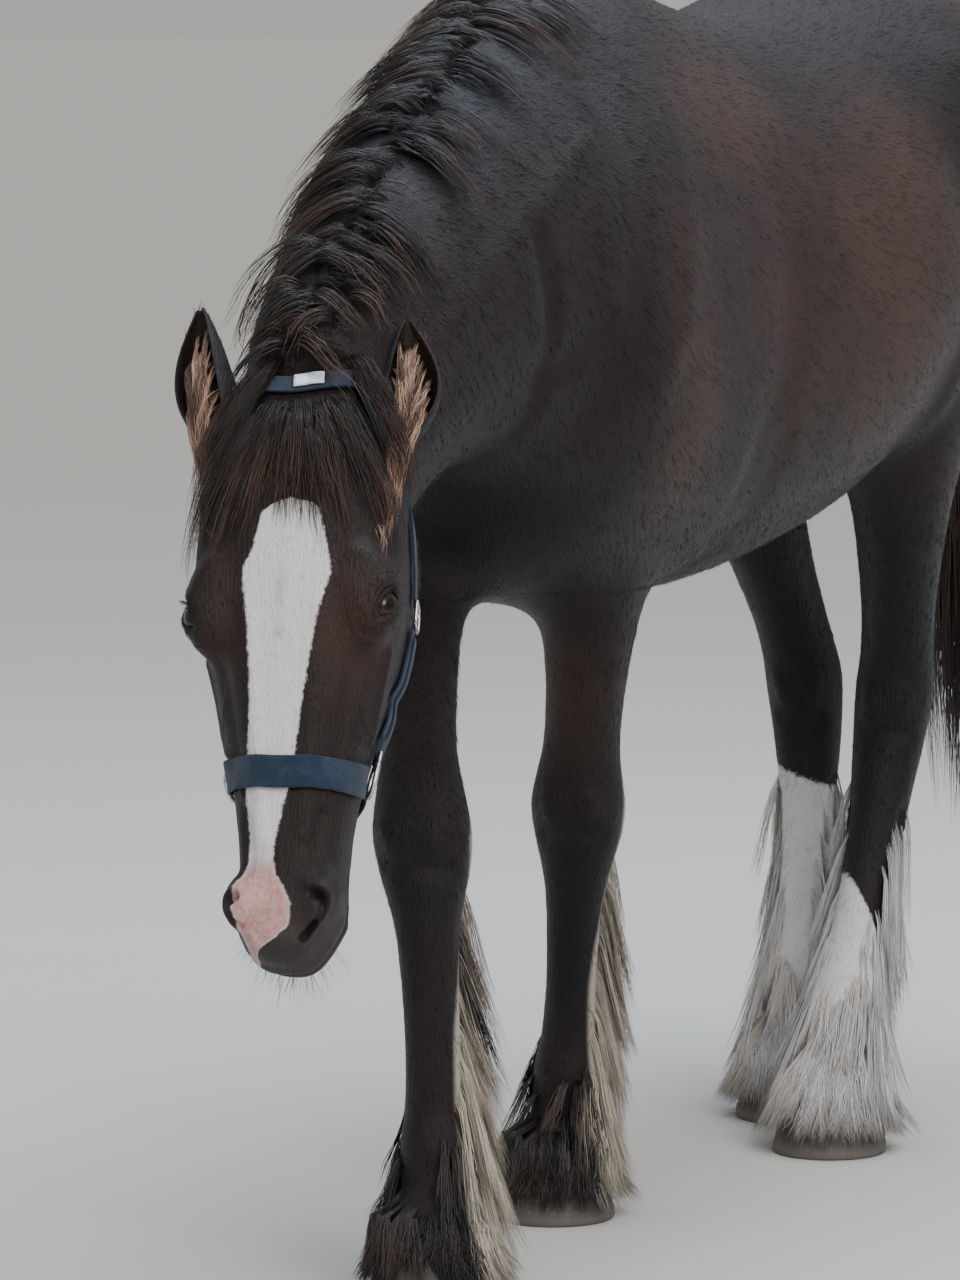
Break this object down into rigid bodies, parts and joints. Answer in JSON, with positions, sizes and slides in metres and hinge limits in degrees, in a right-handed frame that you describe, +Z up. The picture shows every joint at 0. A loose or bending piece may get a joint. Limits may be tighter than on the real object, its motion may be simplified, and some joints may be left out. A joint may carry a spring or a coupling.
{
  "type": "irish cob horse model",
  "caption": "Still, life-size heavy cob horse standing with its head lowered, one foreleg forward, long feather on its lower legs and a webbing halter on its head.",
  "frame": {"origin": "middle of the bounding box, at the floor that the four soles stand on", "axes": "+Z up, the horse faces -Y, its left side is +X"},
  "size_m": [0.6998, 2.3931, 1.4172],
  "materials": {
    "coat": "short dark brown hair with a white blaze and white hind socks",
    "hair": "long black-brown horse hair",
    "feather": "long silky lower-leg hair, dark in front and cream behind",
    "horn": "dusty grey hoof horn",
    "eye": "wet dark brown eye",
    "webbing": "faded blue woven webbing",
    "black_webbing": "black woven webbing",
    "fitting": "worn nickel-plated halter fittings"
  },
  "bodies": {
    "root": {"head": "coat", "neck": "coat", "torso": "coat", "ear_left": "coat", "ear_right": "coat", "tail": "hair", "leg_fore_left": "coat", "leg_fore_right": "coat", "leg_hind_left": "coat", "leg_hind_right": "coat", "cannon_fore_left": "feather", "cannon_fore_right": "feather", "cannon_hind_left": "feather", "cannon_hind_right": "feather", "hoof_fore_left": "horn", "hoof_fore_right": "horn", "hoof_hind_left": "horn", "hoof_hind_right": "horn", "eye_left": "eye", "eye_right": "eye", "halter_noseband": "webbing", "halter_crownpiece": "webbing", "halter_cheek_left": "webbing", "halter_cheek_right": "webbing", "halter_chin_strap": "black_webbing", "halter_ring_left": "fitting", "halter_ring_right": "fitting", "halter_buckle_left": "fitting", "halter_buckle_right": "fitting"}
  },
  "joints": []
}
